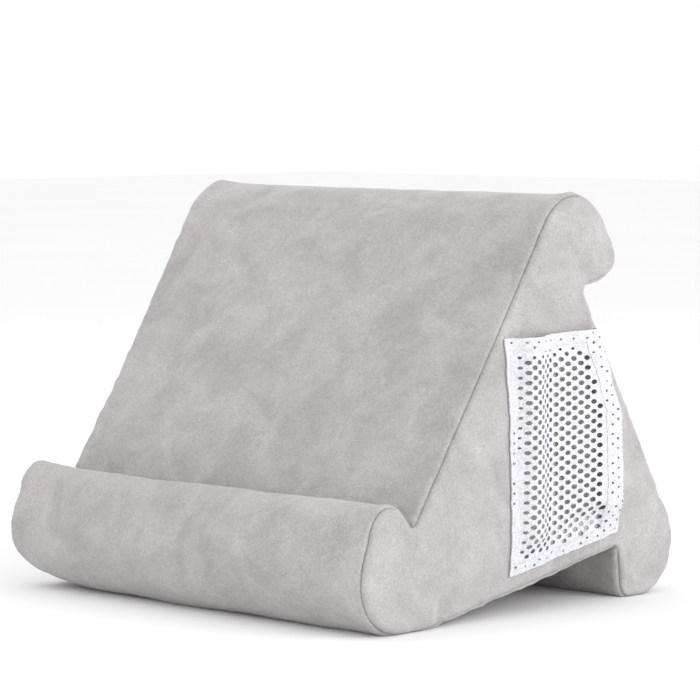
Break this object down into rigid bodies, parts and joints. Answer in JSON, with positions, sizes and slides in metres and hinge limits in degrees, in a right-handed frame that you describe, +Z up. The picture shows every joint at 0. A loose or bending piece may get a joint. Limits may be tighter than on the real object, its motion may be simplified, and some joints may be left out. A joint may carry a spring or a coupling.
{
  "type": "tablet stand",
  "caption": "Soft foam tablet stand with a velvet cover, a sloping face, a front lip, a hooked top, a rear foot, a net side pocket and a zip underneath.",
  "frame": {"origin": "on the floor, under the centre of the whole object's box", "axes": "+X to the stand's own right as seen from its front, towards the end with the pocket; +Y from the front lip to the back; +Z up"},
  "size_m": [0.297, 0.2648, 0.2355],
  "materials": {
    "velvet": "short-pile light grey velvet with a soft mottled nap",
    "foam": "open-cell polyurethane foam",
    "pocket_net": "white knitted polyester net with oval holes",
    "elastic": "white woven elastic",
    "white_thread": "white polyester sewing thread",
    "grey_thread": "grey polyester sewing thread",
    "zip_tape": "grey woven polyester tape",
    "zip_coil": "grey nylon coil",
    "zip_metal": "nickel-plated zinc, satin",
    "label": "white satin ribbon, blank"
  },
  "bodies": {
    "stand": {"foam_core": "foam", "cover_face_panel": "velvet", "cover_back_panel": "velvet", "cover_front_panel": "velvet", "cover_zip_strip": "velvet", "cover_side_left": "velvet", "cover_side_right": "velvet", "side_seam_thread_left": "grey_thread", "side_seam_thread_right": "grey_thread", "notch_seam_thread": "grey_thread", "mesh_pocket": "pocket_net", "pocket_mouth_elastic": "elastic", "pocket_thread": "white_thread", "zip_tape_front": "zip_tape", "zip_tape_rear": "zip_tape", "zip_coil_front": "zip_coil", "zip_coil_rear": "zip_coil", "zip_top_stops": "zip_metal", "zip_bottom_stop": "zip_metal", "zip_thread": "grey_thread", "care_label": "label"},
    "slider": {"zip_slider": "zip_metal"},
    "pull": {"zip_pull": "zip_metal"}
  },
  "joints": [
    {"name": "zip_slide", "type": "slide", "parent": "stand", "child": "slider", "axis": [1, 0, 0], "range_m": [0, 0.2333]},
    {"name": "pull_swing", "type": "hinge", "parent": "slider", "child": "pull", "pos_m": [-0.12015, 0.0586, 0.02437], "axis": [0, 0.9823, 0.1872], "range_deg": [-85, 85]}
  ]
}
